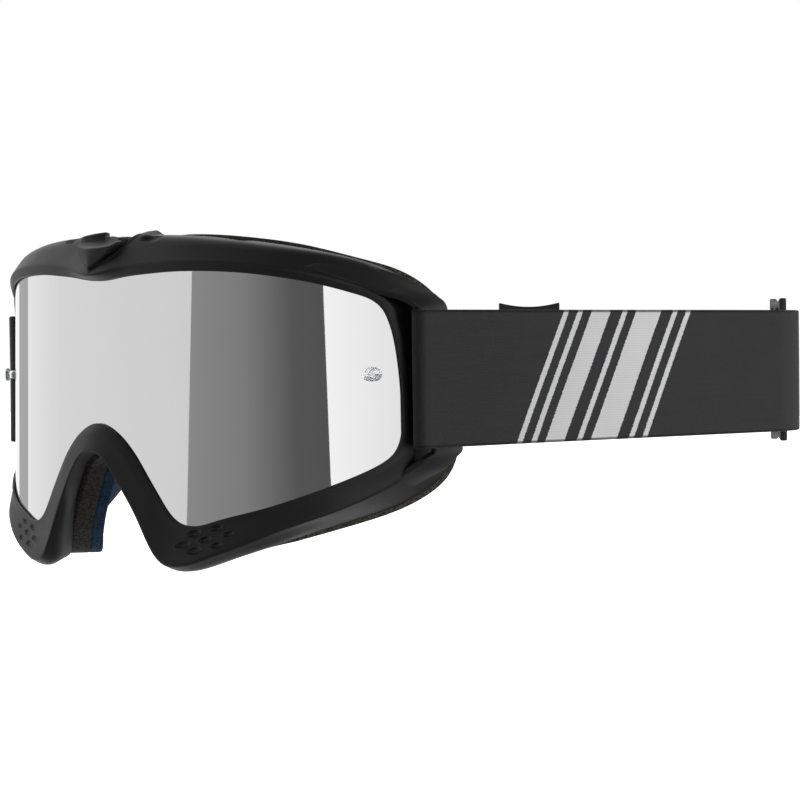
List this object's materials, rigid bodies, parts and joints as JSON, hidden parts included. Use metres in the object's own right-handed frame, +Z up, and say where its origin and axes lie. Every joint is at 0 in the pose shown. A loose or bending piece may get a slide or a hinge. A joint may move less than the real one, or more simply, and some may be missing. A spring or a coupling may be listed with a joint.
{
  "type": "motorcycle goggles",
  "caption": "Full-frame off-road goggles with a cylindrical mirror lens, tear-off posts, two-layer face foam and an adjustable elastic head strap.",
  "frame": {"origin": "middle of the footprint, under the lowest point of the frame's cheek lobes", "axes": "+Z up, the wearer looks along -Y, +X is the wearer's left"},
  "size_m": [0.1928, 0.3578, 0.1109],
  "materials": {
    "frame": "satin black moulded urethane",
    "lens": "silver mirror coated polycarbonate",
    "posts": "clear moulded plastic",
    "base_foam": "dark open-cell foam",
    "face_fleece": "dark blue foam with a brushed face",
    "filter_foam": "coarse open-cell filter foam",
    "webbing": "woven elastic webbing with a pale printed stripe pattern",
    "silicone": "translucent grey silicone",
    "slider": "fine-textured black acetal"
  },
  "bodies": {
    "frame": {"frame_shell": "frame", "outrigger_left": "frame", "outrigger_right": "frame", "lens": "lens", "tearoff_post_left": "posts", "tearoff_post_right": "posts", "post_retainer_left": "posts", "post_retainer_right": "posts", "foam_base": "base_foam", "foam_fleece": "face_fleece", "vent_filter_top": "filter_foam", "vent_filter_left": "filter_foam", "vent_filter_right": "filter_foam", "strap_loop_left": "webbing", "strap_loop_right": "webbing"},
    "strap": {"strap_band": "webbing", "strap_return_left": "webbing", "strap_return_right": "webbing", "grip_lines": "silicone"},
    "slider_left": {"slider_left": "slider", "slider_tab_left": "webbing"},
    "slider_right": {"slider_right": "slider", "slider_tab_right": "webbing"}
  },
  "joints": [
    {"name": "strap_tilt", "type": "hinge", "parent": "frame", "child": "strap", "pos_m": [0, -0.11566, 0.06158], "axis": [1, 0, 0], "range_deg": [-10, 10]},
    {"name": "slider_left_slide", "type": "slide", "parent": "strap", "child": "slider_left", "axis": [-0.6743, 0.7384, 0.011], "range_m": [-0.01, 0.01]},
    {"name": "slider_right_slide", "type": "slide", "parent": "strap", "child": "slider_right", "axis": [0.6743, 0.7384, 0.011], "range_m": [-0.01, 0.01]}
  ]
}
